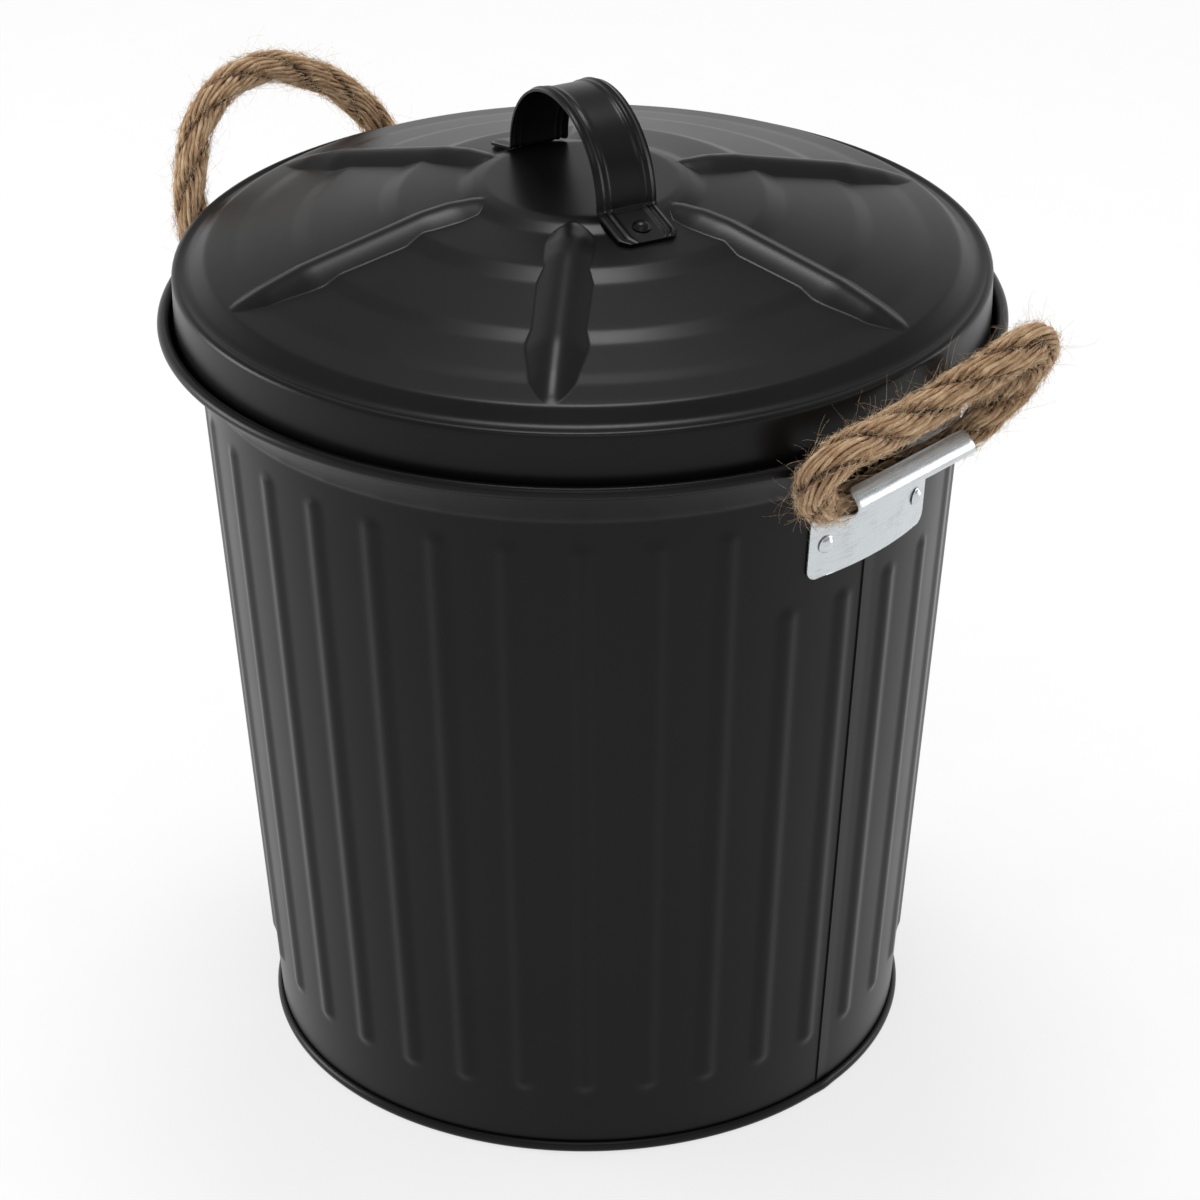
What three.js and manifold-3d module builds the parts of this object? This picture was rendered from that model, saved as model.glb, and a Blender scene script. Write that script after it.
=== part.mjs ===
// A small round metal bin: a fluted, tapered can with a rolled rim, a stepped and ribbed lid with a
// strap handle, and two rope handles held in folded brackets. Millimetres, +Z up, floor at z = 0.
// The can's axis is the z axis, and the two brackets face +X and -X.
import * as THREE from "three";
import { mergeVertices } from "three/addons/utils/BufferGeometryUtils.js";
import Module from "manifold-3d";

const wasm = await Module();
wasm.setup();

// Driving sizes
const SHEET = 0.7; // thickness of the can's and the lid's sheet
const GAP = 0.3; // clearance between pieces that touch
const ROUND_STEPS = 60; // flats in a full turn of the lid and the bottom

const RIM_RADIUS = 150; // outside of the rolled rim
const RIM_Z = 281.5; // height of the roll's centre
const RIM_BEAD = 2.33; // outer radius of the roll itself
const RIM_WRAP = 290; // degrees that the sheet goes round the wire
const FOOT_RADIUS = 116.75; // outside of the wall, carried down to the floor
const FLARE_HEIGHT = 16.9; // from the start of the wall's flare up to the roll's centre
const FLARE_REACH = 14.94; // from the wall at the start of the flare out to the rim's outside
const WALL_FOOT_Z = 1.5; // lower edge of the wall, inside the base seam

const FLUTES = 34;
const FLUTE_HEIGHT = 0.9;
const FLUTE_HALF_ANGLE = 2.15; // degrees, half of a flute's width
const FLUTE_CREST = 0.9; // degrees, half of its crest
const FLUTE_FOOT_Z = 25.5;
const FLUTE_END = 5; // length of a flute's rounded end
const FLUTE_TO_FLARE = 7.6; // from the top of a flute up to the flare
const FLUTE_TO_PLATE = 8; // from the top of a shorter flute up to the bracket over it
const SEAM_ANGLE = -1.5; // degrees, edge of the lap where the wall's sheet is joined
const SEAM_LAP = 2.8; // degrees that the lap covers
const SEAM_STEP = 0.2;

const BASE_BEAD = 2.3; // outer radius of the seam round the base
const BASE_LEG = 1.5; // thickness of the seam inside the wall
const PAN_RISE = 6; // underside of the bottom above the floor

const BRACKET_WIDTH = 62;
const BRACKET_SHEET = 0.9;
const PLATE_DROP = 19.1; // from the flare down to the bend over the riveted plate
const PLATE_HEIGHT = 16.5;
const PLATE_CORNER = 4; // radius of the plate's lower corners
const LIP_RADIUS = 7; // outside of the turn from the panel to the lip
const LIP_OUT = 3.3; // centre of that turn, out from the rope's line
const LIP_UP = 1.9; // centre of that turn, above the rope's line
const LIP_EDGE_OUT = 5.7; // free edge of the lip, out from the centre of the turn
const LIP_EDGE_UP = 8.2; // free edge of the lip, above the centre of the turn
const LIP_CHAMFER = 3;

const RIVET_HEAD = 3.3; // radius
const RIVET_HEAD_HEIGHT = 1.8;
const RIVET_SHANK = 1.8;
const RIVET_TAIL = 2.9;
const RIVET_TAIL_HEIGHT = 1.1;
const BRACKET_RIVET_INSET = 7.2; // from the side of the bracket
const BRACKET_RIVET_DROP = 3.8; // below the bend over the plate

const ROPE_RADIUS = 5.7;
const ROPE_RISE = 17.1; // the rope's line in its bracket, above the bend over the plate
const ROPE_CLEARANCE = 1.38; // between the rope and the wall behind it
const ROPE_STEPS = 40;

const LID_CLEARANCE = 1.28; // between the lid's skirt and the inside of the rim
const LID_SEAT = 2.8; // foot of the skirt, resting on the flare, below the roll's centre
const LID_SKIRT = 21.3; // from the foot of the skirt up to the lid's flat lip
const LID_EDGE_BEAD = 2; // radius of the rounded edge
const LID_EDGE_TURN = 105; // degrees that the edge turns over
const LID_EDGE_Z = -1.15; // centre of the rounded edge, from the lip
const LID_FLAT = 34; // radius of the lid's flat top
const LID_TOP = 30; // height of the lid's middle over the lip
const RIBS = 6;
const RIB_ANGLE = 8; // degrees of the first rib
const RIB_HALF_WIDTH = 9.5;

const STRAP_ANGLE = -20.8; // degrees of the strap handle's line
const STRAP_WIDTH = 22.6;
const STRAP_SHEET = 0.9;
const STRAP_RIDGE = 0.7; // height of the ridge along each edge
const STRAP_CLEARANCE = 0.4; // from the edge of the lid's flat top to the outside of the arch
const STRAP_TOP = 62.6; // top of the arch above the lip
const STRAP_BEND = 1.5; // radius of the turn to the foot
const STRAP_FOOT = 18.6; // from the outside of the arch to the end of the foot
const STRAP_CHAMFER = 3; // corners of the foot
const LID_RIVET_INSET = 8; // from the end of the strap's foot

// The lid's steps: share of the way from the edge of the flat top to the skirt, height over the lip
const LID_STEPS = [
  [0, 29.8],
  [0.0391, 28.9],
  [0.0845, 26.6],
  [0.2744, 24],
  [0.3389, 20.9],
  [0.5597, 15.2],
  [0.6133, 12.8],
  [0.7478, 9.2],
  [0.795, 7.7],
  [0.895, 5.5],
  [0.9449, 1],
  [0.9667, 0.3],
];

// A rib's crest: place as for the steps, height over the lip, width as a share of the full width
const RIB_CREST = [
  [0.0227, 28.9, 0.55],
  [0.0545, 29.4, 0.8],
  [0.1454, 29.4, 0.85],
  [0.2362, 28, 0.9],
  [0.3453, 25, 0.95],
  [0.6451, 16.8, 1],
  [0.7814, 11.3, 0.95],
  [0.8632, 7.2, 0.7],
  [0.8904, 5.3, 0.4],
];

// Half of a rib's outline across, from its foot to its crest, as shares of half width and height
const RIB_FLANK = [
  [1, 0],
  [0.6, 0.36],
  [0.18, 0.93],
];

// Routes of the ropes from the middle of their bracket: outward, along the bracket, up
const ROPE_RIGHT = [
  [0, -0.6, 0],
  [0, -16, 0],
  [0, -30, 0],
  [0.8, -39, 2.6],
  [4.6, -48, 11.4],
  [9.8, -51.2, 21.8],
  [12.9, -44.5, 27.6],
  [14.6, -30.5, 28.8],
  [16.1, -14, 30.3],
  [19, -0.4, 33.6],
  [22.8, 12.4, 38],
  [27.6, 23, 43.4],
  [31.2, 31, 47.3],
  [29, 38.5, 42.8],
  [19.8, 45.2, 29.2],
  [11, 47.4, 17],
  [4.4, 44.5, 7.4],
  [0.8, 38.5, 2],
  [0, 30, 0],
  [0, 16, 0],
  [0, 0.6, 0],
];
const ROPE_LEFT = [
  [0, 0.6, 0],
  [0, 16, 0],
  [0, 30, 0],
  [1, 39.5, 2.4],
  [4.6, 46, 10.3],
  [8.8, 47.8, 19.8],
  [13, 44.8, 29.2],
  [18.4, 38.6, 41.3],
  [23.4, 29, 52.6],
  [26.7, 15.5, 60],
  [28, 0.5, 62.9],
  [27.4, -13, 61.6],
  [24.9, -27, 55.9],
  [20.9, -40, 47],
  [15.9, -50, 35.7],
  [11.3, -53.6, 25.4],
  [6.2, -51.8, 13.9],
  [1.8, -43.5, 4],
  [0, -30, 0],
  [0, -16, 0],
  [0, -0.6, 0],
];

const PAINT = { color: 0x1c1d1f, roughness: 0.42, metalness: 0.1 };
const GALVANIZED = { color: 0xb4b8bb, roughness: 0.45, metalness: 0.9 };
const JUTE = { color: 0x9a8468, roughness: 0.95, metalness: 0 };

const radians = THREE.MathUtils.degToRad;
const degrees = THREE.MathUtils.radToDeg;
const UP = new THREE.Vector3(0, 0, 1);

// Places that follow from the sizes
const RIM_CENTRE = [RIM_RADIUS - RIM_BEAD, RIM_Z];
const FLARE_Z = RIM_Z - FLARE_HEIGHT;
const TAPER = (RIM_RADIUS - FLARE_REACH - FOOT_RADIUS) / FLARE_Z; // of the wall's radius, for each mm up

function wallRadius(z) {
  return FOOT_RADIUS + TAPER * z;
}

const PLATE_BEND_Z = FLARE_Z - PLATE_DROP;
const PLATE_FOOT_Z = PLATE_BEND_Z - PLATE_HEIGHT;
const FLUTE_TOP_Z = FLARE_Z - FLUTE_TO_FLARE;
const FLUTE_TOP_Z_SHORT = PLATE_FOOT_Z - FLUTE_TO_PLATE;
const BRACKET_RIVET_Z = PLATE_BEND_Z - BRACKET_RIVET_DROP;
const BRACKET_RIVET_Y = BRACKET_WIDTH / 2 - BRACKET_RIVET_INSET;
const ROPE_Z = PLATE_BEND_Z + ROPE_RISE;
const ROPE_OUT = wallRadius(ROPE_Z) + ROPE_CLEARANCE + ROPE_RADIUS; // from the can's axis
const LIP_CENTRE = [ROPE_OUT + LIP_OUT, ROPE_Z + LIP_UP];
const LIP_EDGE = [LIP_CENTRE[0] + LIP_EDGE_OUT, LIP_CENTRE[1] + LIP_EDGE_UP];

const LID_RADIUS = RIM_RADIUS - 2 * RIM_BEAD - LID_CLEARANCE; // outside of the skirt
const LID_LIP_Z = RIM_Z - LID_SEAT + LID_SKIRT;
const STRAP_HALF_SPAN = LID_FLAT + STRAP_CLEARANCE;
const STRAP_FOOT_END = STRAP_HALF_SPAN + STRAP_FOOT;
const LID_RIVET_RADIUS = STRAP_FOOT_END - LID_RIVET_INSET;

// Radius on the lid at a share of the way from the edge of its flat top to its skirt
function lidRadius(share) {
  return LID_FLAT + (LID_RADIUS - LID_FLAT) * share;
}

// Points of a circle's arc in a flat profile, from one angle in degrees to another
function arc([centreX, centreY], radius, from, to, steps) {
  return Array.from({ length: steps + 1 }, (_, i) => {
    const angle = radians(from + ((to - from) * i) / steps);
    return [centreX + radius * Math.cos(angle), centreY + radius * Math.sin(angle)];
  });
}

// Unit sideways steps, to the left of a line of profile points, lengthened at its corners
function leftSteps(points) {
  const heading = (a, b) => new THREE.Vector2(b[0] - a[0], b[1] - a[1]).normalize();
  return points.map((point, i) => {
    const into = heading(points[i - 1] ?? point, points[i - 1] ? point : points[i + 1]);
    const out = points[i + 1] ? heading(point, points[i + 1]) : into;
    const mean = into.clone().add(out).normalize();
    const reach = 1 / Math.max(mean.dot(out), 0.5);
    return [-mean.y * reach, mean.x * reach];
  });
}

function offsetLine(points, distance) {
  const steps = leftSteps(points);
  return points.map(([x, y], i) => [x + steps[i][0] * distance, y + steps[i][1] * distance]);
}

// A profile of radius and height turned about the z axis. It starts and ends on the axis, or closes.
function revolve(profile, segments) {
  const points = profile.map(([radius, height]) => new THREE.Vector2(radius, height));
  if (profile[0][0] !== 0) points.push(points[0].clone());
  return new THREE.LatheGeometry(points, segments).rotateX(Math.PI / 2);
}

function closedGeometry(positions, triangles) {
  const geometry = new THREE.BufferGeometry();
  geometry.setAttribute("position", new THREE.Float32BufferAttribute(positions, 3));
  geometry.setIndex(triangles);
  return geometry;
}

// A closed geometry as a solid, for cutting and joining
function solidFrom(geometry) {
  const bare = geometry.clone();
  bare.deleteAttribute("normal");
  bare.deleteAttribute("uv");
  const merged = mergeVertices(bare, 1e-4);
  const mesh = new wasm.Mesh({
    numProp: 3,
    vertProperties: merged.attributes.position.array,
    triVerts: new Uint32Array(merged.index.array),
  });
  return new wasm.Manifold(mesh);
}

function geometryFrom(solid) {
  const { vertProperties, triVerts } = solid.getMesh();
  return closedGeometry(vertProperties, Array.from(triVerts));
}

// Rings of points along a path, joined to a closed body. The flat section gives the two caps.
function loft(rings, section) {
  const count = section.length;
  const last = (rings.length - 1) * count;
  const triangles = [];
  for (let ring = 0; ring + 1 < rings.length; ring++) {
    for (let i = 0; i < count; i++) {
      const a = ring * count + i;
      const b = ring * count + ((i + 1) % count);
      triangles.push(a, b, b + count, a, b + count, a + count);
    }
  }
  const flat = section.map(([x, y]) => new THREE.Vector2(x, y));
  for (const [a, b, c] of THREE.ShapeUtils.triangulateShape(flat, [])) {
    triangles.push(c, b, a, last + a, last + b, last + c);
  }
  return closedGeometry(rings.flat(2), triangles);
}

// Rows of points on the outer face of a bent sheet, made solid by a thickness behind that face
function bentSheet(grid, thickness) {
  const rows = grid.length;
  const columns = grid[0].length;
  const normalAt = (r, c) => {
    const along = grid[r][Math.min(c + 1, columns - 1)].clone().sub(grid[r][Math.max(c - 1, 0)]);
    const up = grid[Math.min(r + 1, rows - 1)][c].clone().sub(grid[Math.max(r - 1, 0)][c]);
    return along.cross(up).normalize();
  };
  const back = grid.map((row, r) =>
    row.map((point, c) => point.clone().addScaledVector(normalAt(r, c), -thickness)),
  );
  const positions = [...grid, ...back].flat().flatMap((point) => point.toArray());
  const behind = rows * columns;
  const triangles = [];
  const quad = (a, b, c, d) => triangles.push(a, b, c, a, c, d);
  for (let r = 0; r + 1 < rows; r++) {
    for (let c = 0; c + 1 < columns; c++) {
      const a = r * columns + c;
      const above = a + columns;
      quad(a, a + 1, above + 1, above);
      quad(behind + above, behind + above + 1, behind + a + 1, behind + a);
    }
    const left = r * columns;
    const right = left + columns - 1;
    quad(left, left + columns, behind + left + columns, behind + left);
    quad(behind + right, behind + right + columns, right + columns, right);
  }
  for (let c = 0; c + 1 < columns; c++) {
    const top = (rows - 1) * columns + c;
    quad(behind + c, behind + c + 1, c + 1, c);
    quad(top, top + 1, behind + top + 1, behind + top);
  }
  return closedGeometry(positions, triangles);
}

// A rivet along +Z with its neck from the top of its tail, at z = 0, to the underside of its head
function rivet(neck) {
  const dome = (RIVET_HEAD ** 2 + RIVET_HEAD_HEIGHT ** 2) / (2 * RIVET_HEAD_HEIGHT);
  const edge = degrees(Math.acos(RIVET_HEAD / dome));
  const profile = [
    [0, -RIVET_TAIL_HEIGHT],
    [RIVET_TAIL - 0.5, -RIVET_TAIL_HEIGHT],
    [RIVET_TAIL, -RIVET_TAIL_HEIGHT + 0.5],
    [RIVET_TAIL, 0],
    [RIVET_SHANK, 0],
    [RIVET_SHANK, neck],
    ...arc([0, neck + RIVET_HEAD_HEIGHT - dome], dome, edge, 90, 3),
  ];
  profile[profile.length - 1][0] = 0;
  return revolve(profile, 12);
}

// A drill along +Z for a rivet's hole
function drill(length) {
  const bit = new THREE.CylinderGeometry(RIVET_SHANK + GAP, RIVET_SHANK + GAP, length, 12);
  return bit.rotateX(Math.PI / 2);
}

// The can's wall: a foot inside the base seam, flutes, a flare and a rim rolled round a wire

// Outer face of the wall from its foot to the rim. A band says which of a flute's parts a row cuts.
function wallRows() {
  const roll = RIM_CENTRE[0] - RIM_BEAD + SHEET;
  const onWall = (z, band, top = false) => ({ point: [wallRadius(z), z], band, top });
  return [
    onWall(WALL_FOOT_Z, "foot"),
    onWall(FLUTE_FOOT_Z, "end"),
    onWall(FLUTE_FOOT_Z + FLUTE_END, "crest"),
    onWall(FLUTE_TOP_Z - FLUTE_END, "crest", true),
    onWall(FLUTE_TOP_Z, "end", true),
    onWall(FLARE_Z, "rim"),
    { point: [roll - 2.1, RIM_Z - 4.7], band: "rim" },
    { point: [roll - 0.5, RIM_Z - 2.3], band: "rim" },
  ];
}

// The wall's columns in one turn: four for each flute, then four for the lap at the seam
function wallColumns() {
  const pitch = 360 / FLUTES;
  const columns = [];
  for (let flute = 0; flute < FLUTES; flute++) {
    const middle = (flute + 0.5) * pitch;
    const fromBracket = Math.abs(((middle + 90) % 180) - 90);
    const offsets = [-FLUTE_HALF_ANGLE, -FLUTE_CREST, FLUTE_CREST, FLUTE_HALF_ANGLE];
    offsets.forEach((offset, i) => {
      columns.push({
        foot: middle + offset,
        crest: middle + offset,
        end: middle + offset * 0.6,
        rim: middle + ((i - 1.5) * pitch) / 4,
        onCrest: i === 1 || i === 2,
        short: fromBracket < 2 * pitch,
      });
    });
  }
  const lapEnd = SEAM_ANGLE + SEAM_LAP;
  const edge = 0.04;
  [SEAM_ANGLE - edge, SEAM_ANGLE + edge, lapEnd - 0.2, lapEnd].forEach((offset, i) => {
    const angle = 360 + offset;
    const rim = 360 + (i - 1.5) * 0.5;
    columns.push({ foot: angle, crest: angle, end: angle, rim, onLap: i === 1 || i === 2 });
  });
  return columns;
}

function bracketRivetPlaces() {
  const tilt = Math.atan(TAPER);
  const swing = Math.asin(BRACKET_RIVET_Y / wallRadius(BRACKET_RIVET_Z));
  return [0, Math.PI].flatMap((bracket) =>
    [-1, 1].map((side) => {
      const angle = bracket + side * swing;
      const outward = new THREE.Vector3(Math.cos(angle), Math.sin(angle), 0);
      const normal = outward.clone().multiplyScalar(Math.cos(tilt)).addScaledVector(UP, -Math.sin(tilt));
      const onWall = outward.multiplyScalar(wallRadius(BRACKET_RIVET_Z)).setZ(BRACKET_RIVET_Z);
      return { onWall, normal, turn: new THREE.Quaternion().setFromUnitVectors(UP, normal) };
    }),
  );
}

function canWall() {
  const outer = wallRows();
  const innerLine = offsetLine(outer.map((row) => row.point), SHEET);
  const inner = outer.map((row, i) => ({ ...row, point: innerLine[i], inside: true })).reverse();
  const lastAngle = 180 - RIM_WRAP;
  const roll = [
    ...arc(RIM_CENTRE, RIM_BEAD - SHEET, 180, lastAngle, 5),
    ...arc(RIM_CENTRE, RIM_BEAD, lastAngle, 180, 5),
  ].map((point) => ({ point, band: "rim" }));
  const rows = [...outer, ...roll, ...inner];
  const columns = wallColumns();
  const geometry = revolve(rows.map((row) => row.point), columns.length);
  const position = geometry.attributes.position;
  const drop = FLUTE_TOP_Z - FLUTE_TOP_Z_SHORT;
  for (let i = 0; i <= columns.length; i++) {
    const column = columns[i % columns.length];
    for (let j = 0; j <= rows.length; j++) {
      const row = rows[j % rows.length];
      let [radius, z] = row.point;
      if (row.top && column.short) {
        z -= drop;
        radius -= drop * TAPER;
      }
      if (row.band === "crest" && column.onCrest) radius += FLUTE_HEIGHT;
      const lapped = ["end", "crest"].includes(row.band) || row.point[1] === FLARE_Z;
      if (column.onLap && lapped && !row.inside) radius += SEAM_STEP;
      const angle = radians(column[row.band]);
      position.setXYZ(i * (rows.length + 1) + j, radius * Math.cos(angle), radius * Math.sin(angle), z);
    }
  }
  let wall = solidFrom(geometry);
  for (const { onWall, turn } of bracketRivetPlaces()) {
    const hole = drill(10).applyQuaternion(turn).translate(onWall.x, onWall.y, onWall.z);
    wall = wall.subtract(solidFrom(hole));
  }
  return geometryFrom(wall);
}

function rimWire() {
  const radius = RIM_BEAD - SHEET - 1.4 * GAP;
  return new THREE.TorusGeometry(RIM_CENTRE[0], radius, 6, 68);
}

// The bottom: a raised disc whose edge folds down, round the foot of the wall and up as the base bead
function bottomPan() {
  const beadCentre = [wallRadius(WALL_FOOT_Z) - SHEET / 2 + 0.25, BASE_BEAD];
  const slotIn = wallRadius(WALL_FOOT_Z) - SHEET - GAP;
  const slotOut = wallRadius(2 * BASE_BEAD) + GAP;
  const legIn = slotIn - BASE_LEG;
  const slotFloor = WALL_FOOT_Z - GAP;
  const profile = [
    [0, PAN_RISE],
    [legIn - 1.5, PAN_RISE],
    [legIn, PAN_RISE - 1.5],
    [legIn, 0.8],
    [legIn + 0.8, 0],
    ...arc(beadCentre, BASE_BEAD, -90, 66, 4),
    [slotOut, 2 * BASE_BEAD - 0.2],
    [slotOut, slotFloor],
    [slotIn, slotFloor],
    [slotIn, PAN_RISE + SHEET],
    [0, PAN_RISE + SHEET],
  ];
  return revolve(profile, ROUND_STEPS);
}

// A bracket on +X: a plate riveted to the wall, a panel that leans out and a lip in front of the rope
function bracket() {
  const half = BRACKET_WIDTH / 2;
  const lift = GAP + BRACKET_SHEET;
  const onPlate = (z, reach) => ({ x: wallRadius(z) + lift, z, reach, round: true });
  const corner = [0, 0.25, 0.5].map((turn) => {
    const angle = turn * Math.PI;
    const z = PLATE_FOOT_Z + PLATE_CORNER * (1 - Math.cos(angle));
    return onPlate(z, half - PLATE_CORNER * (1 - Math.sin(angle)));
  });
  const lip = arc(LIP_CENTRE, LIP_RADIUS, -43, 9, 3).map(([x, z]) => ({ x, z, reach: half }));
  const { x: lipX, z: lipZ } = lip[lip.length - 1];
  const chamferShare = 1 - LIP_CHAMFER / (LIP_EDGE[1] - lipZ);
  const lines = [
    ...corner,
    onPlate(PLATE_BEND_Z - 2, half),
    onPlate(PLATE_BEND_Z, half),
    ...lip,
    { x: lipX + (LIP_EDGE[0] - lipX) * chamferShare, z: LIP_EDGE[1] - LIP_CHAMFER, reach: half },
    { x: LIP_EDGE[0], z: LIP_EDGE[1], reach: half - LIP_CHAMFER },
  ];
  const shares = [-1, -0.8, -0.55, -0.28, 0, 0.28, 0.55, 0.8, 1];
  const grid = lines.map(({ x, z, reach, round }) =>
    shares.map((share) => {
      const y = share * reach;
      return new THREE.Vector3(round ? Math.sqrt(x * x - y * y) : x, y, z);
    }),
  );
  let solid = solidFrom(bentSheet(grid, BRACKET_SHEET));
  for (const { onWall, turn } of bracketRivetPlaces().slice(0, 2)) {
    const hole = drill(10).applyQuaternion(turn).translate(onWall.x, onWall.y, onWall.z);
    solid = solid.subtract(solidFrom(hole));
  }
  return geometryFrom(solid);
}

function rope(route) {
  const points = route.map(
    ([out, along, up]) => new THREE.Vector3(ROPE_OUT + out, along, ROPE_Z + up),
  );
  const section = new THREE.Shape();
  const sides = 8;
  for (let i = 0; i < sides; i++) {
    const angle = (i / sides) * 2 * Math.PI;
    section[i ? "lineTo" : "moveTo"](ROPE_RADIUS * Math.cos(angle), ROPE_RADIUS * Math.sin(angle));
  }
  const extrudePath = new THREE.CatmullRomCurve3(points);
  return new THREE.ExtrudeGeometry(section, { extrudePath, steps: ROPE_STEPS, bevelEnabled: false });
}

// The lid, with heights over its flat lip

// Outer surface of the lid from the middle to its edge: radius, height
const LID_SURFACE = [[0, LID_TOP], ...LID_STEPS.map(([share, z]) => [lidRadius(share), z])];

function lidHeight(radius) {
  const next = LID_SURFACE.findIndex(([r]) => r >= radius);
  const [r0, z0] = LID_SURFACE[next - 1];
  const [r1, z1] = LID_SURFACE[next];
  return THREE.MathUtils.mapLinear(radius, r0, r1, z0, z1);
}

// Underside of the strap's foot, which touches the lid's inner step and lies down at its own end
function footUnderside(radius) {
  const step = LID_SURFACE[2][0];
  const fromStep = lidHeight(step) + GAP;
  const fromEnd = lidHeight(STRAP_FOOT_END) + GAP;
  return THREE.MathUtils.mapLinear(radius, step, STRAP_FOOT_END, fromStep, fromEnd);
}

const FOOT_SLOPE = footUnderside(STRAP_FOOT_END) - footUnderside(STRAP_FOOT_END - 1);
const FOOT_TILT = Math.atan(-FOOT_SLOPE);

// Rivets of the strap, in the strap's own frame with its line along x
function strapRivetPlaces() {
  return [-1, 1].map((side) => {
    const radius = LID_RIVET_RADIUS;
    const onFoot = new THREE.Vector3(side * radius, 0, footUnderside(radius));
    const normal = new THREE.Vector3(side * Math.sin(FOOT_TILT), 0, Math.cos(FOOT_TILT));
    return { onFoot, normal, turn: new THREE.Quaternion().setFromUnitVectors(UP, normal) };
  });
}

// The lid without its ribs, solid down to the skirt's foot. With an inset it is the room inside.
function lidBody(inset) {
  const edgeCentre = [LID_RADIUS - LID_EDGE_BEAD, LID_EDGE_Z];
  const surface = [
    [LID_RADIUS, -LID_SKIRT],
    ...arc(edgeCentre, LID_EDGE_BEAD, 0, LID_EDGE_TURN, 4),
    ...LID_SURFACE.slice().reverse(),
  ];
  const line = offsetLine(surface, inset);
  line[0][1] -= inset * 2;
  line[line.length - 1][0] = 0;
  return solidFrom(revolve([[0, line[0][1]], ...line], ROUND_STEPS));
}

// A rib along x, with its foot inside the lid. The inset is that of the lid's body.
function ribBody(inset) {
  const flank = RIB_FLANK;
  const mirrored = flank.map(([across, up]) => [-across, up]).reverse();
  const section = [...flank, [0, 1], ...mirrored, [-1, -1], [1, -1]];
  const sunk = 0.6; // the foot of a rib lies a little under the lid's surface
  const rings = RIB_CREST.map(([share, crest, width]) => {
    const radius = lidRadius(share);
    const foot = lidHeight(radius) - sunk;
    const reach = RIB_HALF_WIDTH * width - inset;
    return section.map(([across, up]) => {
      const height = up < 0 ? foot - 3 : foot + (crest - foot) * up;
      return [radius, across * reach, height - inset];
    });
  });
  return loft(rings, section);
}

function lidShell() {
  const [skin, room] = [0, SHEET].map((inset) => {
    let body = lidBody(inset);
    for (let rib = 0; rib < RIBS; rib++) {
      const angle = radians(RIB_ANGLE + (rib * 360) / RIBS);
      body = body.add(solidFrom(ribBody(inset).rotateZ(angle)));
    }
    return body;
  });
  let shell = skin.subtract(room);
  for (const { onFoot, turn } of strapRivetPlaces()) {
    const hole = drill(12).applyQuaternion(turn).translate(onFoot.x, onFoot.y, onFoot.z);
    shell = shell.subtract(solidFrom(hole.rotateZ(radians(STRAP_ANGLE))));
  }
  return geometryFrom(shell);
}

// The strap handle along x: two feet, two tight turns and a high arch, with a ridge along each edge
function lidHandle() {
  const turnX = STRAP_HALF_SPAN + STRAP_BEND;
  const topOfFoot = (x) => footUnderside(x) + STRAP_SHEET / Math.cos(FOOT_TILT);
  const turnZ = topOfFoot(turnX) + STRAP_BEND / Math.cos(FOOT_TILT);
  const footAngle = 270 - degrees(FOOT_TILT);
  const chamferX = STRAP_FOOT_END - STRAP_CHAMFER;
  const side = [
    [STRAP_FOOT_END, topOfFoot(STRAP_FOOT_END)],
    [chamferX, topOfFoot(chamferX)],
    ...arc([turnX, turnZ], STRAP_BEND, footAngle, 180, 3),
  ];
  const steps = 18;
  const arch = Array.from({ length: steps - 1 }, (_, i) => {
    const angle = (Math.PI * (i + 1)) / steps;
    return [STRAP_HALF_SPAN * Math.cos(angle), turnZ + (STRAP_TOP - turnZ) * Math.sin(angle)];
  });
  const mirrored = side.map(([x, z]) => [-x, z]).reverse();
  const line = [...side, ...arch, ...mirrored];
  const inward = leftSteps(line);
  const half = STRAP_WIDTH / 2;
  const outline = [
    [half, 0],
    [half - 1.3, STRAP_RIDGE],
    [half - 3.8, STRAP_RIDGE],
    [half - 4.8, 0],
  ];
  const section = [
    [half, -STRAP_SHEET],
    ...outline,
    ...outline.map(([across, up]) => [-across, up]).reverse(),
    [-half, -STRAP_SHEET],
  ];
  const rings = line.map(([x, z], i) => {
    const atEnd = i === 0 || i === line.length - 1;
    const narrow = atEnd ? (half - STRAP_CHAMFER) / half : 1;
    return section.map(([across, up]) => {
      const rise = atEnd && up > 0 ? up * 0.3 : up;
      return [x - inward[i][0] * rise, -across * narrow, z - inward[i][1] * rise];
    });
  });
  let strap = solidFrom(loft(rings, section));
  for (const { onFoot, turn } of strapRivetPlaces()) {
    const hole = drill(12).applyQuaternion(turn).translate(onFoot.x, onFoot.y, onFoot.z);
    strap = strap.subtract(solidFrom(hole));
  }
  return geometryFrom(strap);
}

// Assembly

function mesh(name, geometry, look) {
  const shape = geometry.index && !geometry.attributes.normal ? geometry.toNonIndexed() : geometry;
  if (!shape.attributes.normal) shape.computeVertexNormals();
  const made = new THREE.Mesh(shape, new THREE.MeshStandardMaterial(look));
  made.name = name;
  return made;
}

const can = new THREE.Group();
can.add(mesh("can_wall", canWall(), PAINT));
can.add(mesh("bottom_pan", bottomPan(), PAINT));
const wire = mesh("rim_wire", rimWire(), GALVANIZED);
wire.position.z = RIM_Z;
can.add(wire);

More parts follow.
